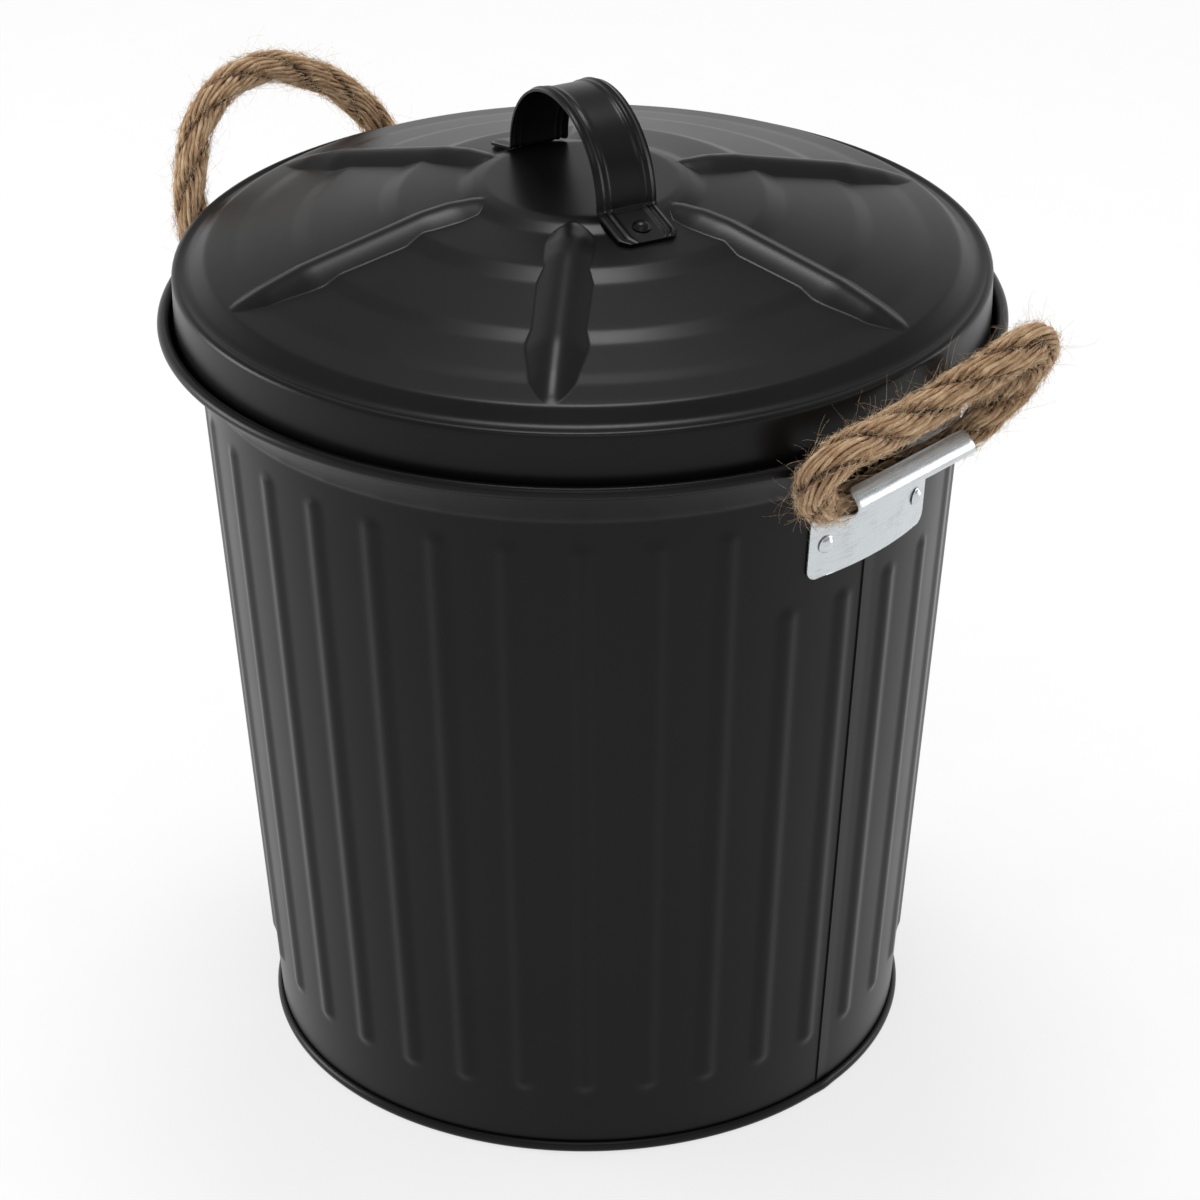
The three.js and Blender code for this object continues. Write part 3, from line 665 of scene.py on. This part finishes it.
def wall_heights():
    """Heights of the wall's rows, close together where the flutes end."""
    heights = [WALL_FOOT_Z, 8, 15, 20]
    for ends in ((23, 37), (213, 224), (247, 260)):
        heights += range(ends[0], ends[1] + 1)
    heights += [70, 110, 150, 190, 231, 239]
    return sorted(set(heights)) + [FLARE_Z - 1.5]


def wall_profile():
    """The wall's section: upright, flare and the roll round the wire, outside and inside."""
    centre = (RIM_RADIUS - RIM_BEAD, RIM_Z)
    roll = centre[0] - RIM_BEAD + SHEET
    upright = [(wall_radius(z), z) for z in wall_heights()]
    turned = [upright[-1], (wall_radius(FLARE_Z), FLARE_Z), (roll - 2.1, RIM_Z - 4.7)]
    turned += [(roll - 0.35, RIM_Z - 2.0), (roll, RIM_Z)]
    flare = rounded(turned, 4)
    outer = upright[:-1] + flare
    last = 180 - RIM_WRAP
    inner = offset(outer, SHEET)
    rolled = arc(centre, RIM_BEAD - SHEET, 176, last, 12) + arc(centre, RIM_BEAD, last, 176, 16)
    return outer + rolled + inner[::-1]


def flute_rise(angle, z):
    """How far the wall stands out at a flute, whose ends are round."""
    pitch = 360 / FLUTES
    index = math.floor(angle / pitch)
    middle = (index + 0.5) * pitch
    from_bracket = abs((middle + 90) % 180 - 90)
    top = FLUTE_TOP_Z_SHORT if from_bracket < 2 * pitch else FLUTE_TOP_Z
    across = math.radians(angle - middle) * wall_radius(z)
    low, high = FLUTE_FOOT_Z + FLUTE_HALF, top - FLUTE_HALF
    beyond = max(low - z, z - high, 0)
    share = math.hypot(across, beyond) / FLUTE_HALF
    return FLUTE_HEIGHT * 0.5 * (1 + math.cos(math.pi * min(share, 1)))


WALL_COLUMNS = 17  # to each flute and its share of the wall
SEAM_WIDTH = 2.6  # degrees that the lap takes to come back to the wall
SEAM_STEP = 0.55


def lap_rise(angle):
    """The seam's lap: a sharp edge, then a slope back to the wall."""
    past = angle - SEAM_ANGLE
    if past < 0 or past > SEAM_WIDTH:
        return 0
    return SEAM_STEP * (1 - past / SEAM_WIDTH)


def can_wall():
    """The can's sheet, turned from its profile and then pressed into flutes and the lap."""
    steps = FLUTES * WALL_COLUMNS
    bm = spun(wall_profile(), steps)
    grain = 360 / steps
    for vert in bm.verts:
        angle = math.degrees(math.atan2(vert.co.y, vert.co.x))
        radius = math.hypot(vert.co.x, vert.co.y)
        z = vert.co.z
        if z > FLARE_Z + 6 or radius > wall_radius(z) + 2:
            continue
        outside = radius > wall_radius(z) - SHEET * 0.5
        # The two columns next to the seam move together, so that its edge is sharp
        if SEAM_ANGLE - grain < angle <= SEAM_ANGLE:
            angle = SEAM_ANGLE - 0.03
        elif SEAM_ANGLE < angle <= SEAM_ANGLE + grain:
            angle = SEAM_ANGLE + 0.03
        if z < FLARE_Z - 2:
            radius += flute_rise(angle, z)
        if outside:
            radius += lap_rise(angle) * min(1, (z - WALL_FOOT_Z) / 6)
        turn = math.radians(angle)
        vert.co.x, vert.co.y = radius * math.cos(turn), radius * math.sin(turn)
    placed(finish_mesh(bm, "wall_sheet", BLACK, 40), "can", "black_coat", "can_wall")


can_wall()


LAP_SWELL = 0.35  # how much the bead stands out over the wall's lap
LAP_SWELL_HALF = 3.2  # degrees


def base_seam():
    """The bottom with its bead, thicker where the wall's lap runs into it."""
    foot = wall_radius(WALL_FOOT_Z)
    centre = (foot - SHEET / 2 + 0.25, BASE_BEAD)
    slot_in = foot - SHEET - GAP
    slot_out = wall_radius(2 * BASE_BEAD) + GAP
    leg = slot_in - 1.5
    slot_floor = WALL_FOOT_Z - GAP
    profile = [(0, PAN_RISE), (leg - 3, PAN_RISE)]
    profile += [(leg - 0.7, PAN_RISE - 0.8), (leg, PAN_RISE - 2.6), (leg, 0.8), (leg + 0.8, 0)]
    profile += arc(centre, BASE_BEAD, -90, 66, 14)
    profile += [(slot_out, 2 * BASE_BEAD - 0.2), (slot_out, slot_floor), (slot_in, slot_floor)]
    profile += [(slot_in, PAN_RISE + SHEET), (0, PAN_RISE + SHEET)]
    bm = spun(profile, 360, closed=False)
    for vert in bm.verts:
        angle = math.degrees(math.atan2(vert.co.y, vert.co.x))
        radius = math.hypot(vert.co.x, vert.co.y)
        if radius > foot and abs(angle) < LAP_SWELL_HALF:
            swell = LAP_SWELL * 0.5 * (1 + math.cos(math.pi * angle / LAP_SWELL_HALF))
            vert.co *= 1 + swell / radius
            vert.co.z = max(vert.co.z, 0)
    placed(finish_mesh(bm, "base_seam", BLACK, 45), "can", "black_coat", "bottom_pan")


base_seam()

# ---------------------------------------------------------------- lid


def lid_height(radius):
    """Height of the lid's outside between the ribs, over its lip."""
    return interpolate(LID_STEPS, radius, 1)


def rib_crest(radius):
    """Height of a rib's crest, which lies under the lid beyond the rib's ends."""
    if not RIB_CREST[0][0] <= radius <= RIB_CREST[-1][0]:
        return -100
    return interpolate(RIB_CREST, radius, 1)


def rib_half(radius):
    """Half of a rib's width, where its flanks run into the lid."""
    over = max(rib_crest(radius) - lid_height(radius), 0)
    half = math.sqrt((over + RIB_ROUND) ** 2 - RIB_ROUND**2) / RIB_SLOPE
    return min(max(half, 2), radius * 0.4)


def lid_shell():
    """The pressed lid. Its columns run along the feet of the ribs, so that those are crisp."""
    edge = arc((LID_RADIUS - 2, -1.15), 2, 0, 105, 8)
    skirt = filled([(LID_RADIUS, -21.3), (LID_RADIUS, -3)], 5)
    surface = skirt + edge + filled(rounded(LID_STEPS, 1.1, 3), 3)[::-1]
    under = [(max(r, 0), z) for r, z in offset(surface, SHEET)]
    under[-1] = (0, under[-1][1])
    pitch = TURN / RIBS
    bm = spun(surface[::-1] + under, RIBS * 60, closed=False)
    for vert in bm.verts:
        radius = math.hypot(vert.co.x, vert.co.y)
        if radius:
            turn = math.atan2(vert.co.y, vert.co.x) / pitch
            rib = math.floor(turn + 0.5)
            share = 4 * (turn - rib)
            half = rib_half(radius)
            foot = math.asin(half / radius)
            if abs(share) <= 1:
                angle = math.asin(share * half / radius)
            else:
                angle = math.copysign(foot + (pitch / 2 - foot) * (abs(share) - 1) ** 1.5, share)
            fallen = math.hypot(RIB_ROUND, RIB_SLOPE * radius * math.sin(angle)) - RIB_ROUND
            below = SHEET if vert.co.z < lid_height(radius) - SHEET / 2 else 0
            vert.co.z = max(vert.co.z, rib_crest(radius) - fallen - below)
            angle += math.radians(RIB_ANGLE) + rib * pitch
            vert.co.x, vert.co.y = radius * math.cos(angle), radius * math.sin(angle)
        vert.co.z += LID_LIP_Z
    placed(finish_mesh(bm, "lid_sheet", BLACK, 60), "lid", "black_coat", "lid_shell")


lid_shell()


def foot_under(x):
    """Underside of the strap's foot over the lid's lip."""
    step = LID_STEPS[2][0]
    low, high = lid_height(STRAP_FOOT_END) + GAP, lid_height(step) + GAP
    return high + (low - high) * (x - step) / (STRAP_FOOT_END - step)


FOOT_TILT = math.atan(foot_under(0) - foot_under(1))


def strap_rise(across):
    """How far the strap stands out at the two beads pressed along each of its edges."""
    edge = abs(across)
    return sum(high * math.exp(-(((edge - at) / half) ** 2)) for at, high, half in STRAP_BEADS)


def strap():
    """The lid's handle: a bent strip with beaded edges, whose feet lie flat on the lid's lip."""
    thick = STRAP_SHEET / math.cos(FOOT_TILT)
    turn_x = STRAP_HALF_SPAN + STRAP_BEND
    turn_z = foot_under(turn_x) + thick + STRAP_BEND / math.cos(FOOT_TILT)
    places = (STRAP_FOOT_END, 52.2, 51.4, 50.6, 50, 47, 44, 40)
    foot = [(x, foot_under(x) + thick) for x in places]
    bend = arc((turn_x, turn_z), STRAP_BEND, 270 - math.degrees(FOOT_TILT), 180, 8)
    arch = []
    for i in range(1, 64):
        angle = math.pi * i / 64
        arch.append((STRAP_HALF_SPAN * math.cos(angle), turn_z + (STRAP_TOP - turn_z) * math.sin(angle)))
    half_line = foot + bend
    line = half_line + arch + [(-x, z) for x, z in half_line[::-1]]
    inward = left_steps(line)
    half = STRAP_WIDTH / 2
    count = 44
    rows = []
    for (x, z), step in zip(line, inward):
        ahead = max(abs(x) - (STRAP_FOOT_END - STRAP_CHAMFER), 0)
        reach = half - ahead
        fade = min(1, (STRAP_FOOT_END + 0.6 - abs(x)) / 2.5)
        section = []
        for order, depth in ((range(count + 1), 0), (range(count, -1, -1), STRAP_SHEET)):
            for k in order:
                across = reach * (2 * k / count - 1)
                lift = strap_rise(across * half / reach) * fade - depth
                section.append((x - step.x * lift, across, z - step.y * lift))
        rows.append(section)
    bm = skin_of(rows, wrap=True)
    bmesh.ops.recalc_face_normals(bm, faces=bm.faces)
    turn = Matrix.Translation((0, 0, LID_LIP_Z)) @ Matrix.Rotation(STRAP_ANGLE, 4, "Z")
    bmesh.ops.transform(bm, matrix=turn, verts=bm.verts)
    placed(finish_mesh(bm, "strap_handle", BLACK, 50), "lid", "black_coat", "lid_handle")


strap()

# ---------------------------------------------------------------- brackets and rivets


PLATE_FOOT_Z = 229
PLATE_CORNER = 4
PLATE_TOP_Z = 251.5
SHELF_Z = 253.5  # where the sheet leaves the wall, outward and up to the lip
LIP = [(151.2, 261.4), (152.1, 263.4), (151.8, 264.9), (150.4, 266.5), (148.6, 268.3), (146.9, 270)]


def bracket_lines():
    """Rows of a bracket's outer face: distance from the axis, height, half width, round or straight."""
    half = BRACKET_WIDTH / 2
    lift = GAP + BRACKET_SHEET
    lines = []
    for i in range(7):
        angle = math.radians(15 * i)
        z = PLATE_FOOT_Z + PLATE_CORNER * (1 - math.cos(angle))
        reach = half - PLATE_CORNER * (1 - math.sin(angle))
        lines.append((wall_radius(z) + lift, z, reach, True))
    for z in (236, 240, 246, PLATE_TOP_Z):
        lines.append((wall_radius(z) + lift, z, half, True))
    fold = [(wall_radius(z) + lift, z) for z in (PLATE_TOP_Z, SHELF_Z)] + LIP
    bend = rounded(fold[:4], 1.2, 4) + fold[4:]
    lines += [(x, z, half, z < SHELF_Z - 0.5) for x, z in bend[1:-2]]
    lines += [(x, z, half - 1.2 * i, False) for i, (x, z) in enumerate(bend[-2:])]
    return lines


def bracket(name, side):
    """A bracket folded from one sheet: riveted plate, shelf under the rope, lip over it."""
    count = 36
    rows = []
    for x, z, reach, round_plate in bracket_lines():
        row = []
        for k in range(count + 1):
            y = reach * (2 * k / count - 1)
            depth = math.sqrt(x * x - y * y) if round_plate else x
            row.append((depth * side, y * side, z))
        rows.append(row)
    bm = skin_of(rows)
    bmesh.ops.recalc_face_normals(bm, faces=bm.faces)
    made = finish_mesh(bm, f"bracket_{name}_sheet", ZINC, 40)
    wall = made.modifiers.new("sheet", "SOLIDIFY")
    wall.thickness = BRACKET_SHEET * MM
    wall.offset = -1
    edge = made.modifiers.new("edge", "BEVEL")
    edge.width = 0.18 * MM
    edge.segments = 2
    edge.limit_method = "ANGLE"
    edge.angle_limit = math.radians(50)
    placed(made, "can", "bare_zinc", f"bracket_{name}")


bracket("right", 1)
bracket("left", -1)


RIVET_HEAD = 3.3  # radius, as of the shank and the tail
RIVET_SHANK = 1.8
RIVET_TAIL = 2.9
RIVET_HEAD_HEIGHT = 1.8
BRACKET_RIVET_Z = 241.7
BRACKET_RIVET_SWING = 10.27  # degrees from the bracket's middle


def rivet(name, look, slot, body, node, place, normal, neck):
    """A round-headed rivet whose tail starts at place and whose neck runs along normal."""
    dome = (RIVET_HEAD**2 + RIVET_HEAD_HEIGHT**2) / (2 * RIVET_HEAD_HEIGHT)
    edge = math.degrees(math.acos(RIVET_HEAD / dome))
    profile = [(0, -1.1), (RIVET_TAIL - 0.6, -1.1), (RIVET_TAIL, -0.6), (RIVET_TAIL, 0)]
    profile += [(RIVET_SHANK, 0), (RIVET_SHANK, neck), (RIVET_HEAD - 0.2, neck)]
    profile += [(RIVET_HEAD, neck + 0.15)]
    profile += arc((0, neck + RIVET_HEAD_HEIGHT - dome), dome, edge + 4, 90, 12)
    profile[-1] = (0, profile[-1][1])
    bm = spun(profile, 40, closed=False)
    turn = Vector((0, 0, 1)).rotation_difference(normal).to_matrix().to_4x4()
    bmesh.ops.transform(bm, matrix=Matrix.Translation(place) @ turn, verts=bm.verts)
    placed(finish_mesh(bm, name, look, 40), body, slot, node)


def rivets():
    """Two rivets through each bracket's plate and one through each foot of the strap."""
    tilt = math.atan(TAPER)
    for side, start in (("right", 0), ("left", 180)):
        for number, swing in ((1, -BRACKET_RIVET_SWING), (2, BRACKET_RIVET_SWING)):
            angle = math.radians(start + swing)
            outward = Vector((math.cos(angle), math.sin(angle), 0))
            normal = outward * math.cos(tilt) - Vector((0, 0, math.sin(tilt)))
            seat = outward * wall_radius(BRACKET_RIVET_Z) + Vector((0, 0, BRACKET_RIVET_Z))
            place = seat - normal * (SHEET + GAP)
            name = f"bracket_rivet_{side}_{number}"
            neck = SHEET + BRACKET_SHEET + 3 * GAP
            rivet(name + "_head", ZINC_RIVET, "bare_zinc", "can", name, place, normal, neck)
    reach = foot_under(LID_RIVET_RADIUS) - lid_height(LID_RIVET_RADIUS) + SHEET + 2 * GAP
    for number, side in ((1, -1), (2, 1)):
        tilted = Vector((side * math.sin(FOOT_TILT), 0, math.cos(FOOT_TILT)))
        place = Vector((side * LID_RIVET_RADIUS, 0, foot_under(LID_RIVET_RADIUS))) - tilted * reach
        turn = Matrix.Rotation(STRAP_ANGLE, 3, "Z")
        fibre_with_painted_shade = turn @ place + Vector((0, 0, LID_LIP_Z))
        name = f"lid_rivet_{number}"
        neck = reach + STRAP_SHEET + GAP
        rivet(name + "_head", BLACK, "black_coat", "lid", name, fibre_with_painted_shade, turn @ tilted, neck)


rivets()

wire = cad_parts["rim_wire"]
wire.data.materials.clear()
wire.data.materials.append(ZINC)

# ---------------------------------------------------------------- studio


def floor():
    """A paper floor that reaches to the horizon."""
    bm = bmesh.new()
    bmesh.ops.create_grid(bm, x_segments=2, y_segments=2, size=40000)
    sweep = finish_mesh(bm, "floor_sweep", paper_floor())


def panel(name, at, size, power):
    """A soft box, placed in the photograph's frame, that faces the bin."""
    data = bpy.data.lights.new(name, "AREA")
    data.shape = "RECTANGLE"
    data.size, data.size_y = size[0] * MM, size[1] * MM
    data.energy = power
    made = bpy.data.objects.new(name, data)
    bpy.context.scene.collection.objects.link(made)
    place = Matrix.Rotation(PHOTO_TURN, 3, "Z") @ (Vector(at) * MM)
    made.location = place
    made.rotation_euler = (Vector((0, 0, 0.2)) - place).to_track_quat("-Z", "Y").to_euler()


floor()
panel("overhead_box", (0, 420, 2000), (600, 420), 15)
panel("front_box", (0, -1500, 2300), (1400, 900), 8)
panel("left_box", (-1900, 300, 500), (900, 900), 19)
panel("right_box", (1900, 300, 500), (900, 900), 9)


def studio_world():
    """Room light by height: bright low walls, a dark band over them, a pale ceiling with a dark middle."""
    sky = bpy.data.worlds.new("studio")
    sky.use_nodes = True
    tree = sky.node_tree
    toward = add(tree, "ShaderNodeTexCoord").outputs["Generated"]
    height = add(tree, "ShaderNodeSeparateXYZ", {"Vector": toward}).outputs["Z"]
    bands = [(0, "#ffffff"), (0.22, "#fafafa"), (0.36, "#e6e6e6"), (0.46, "#b4b4b4")]
    bands += [(0.6, "#9c9c9c"), (0.76, "#cdcdcd"), (0.86, "#dadada"), (0.97, "#7c7c7c")]
    light = tree.nodes["Background"]
    tree.links.new(ramp(tree, height, bands), light.inputs["Color"])
    light.inputs["Strength"].default_value = 1.0
    bpy.context.scene.world = sky


studio_world()
bpy.context.scene.view_settings.view_transform = "Standard"
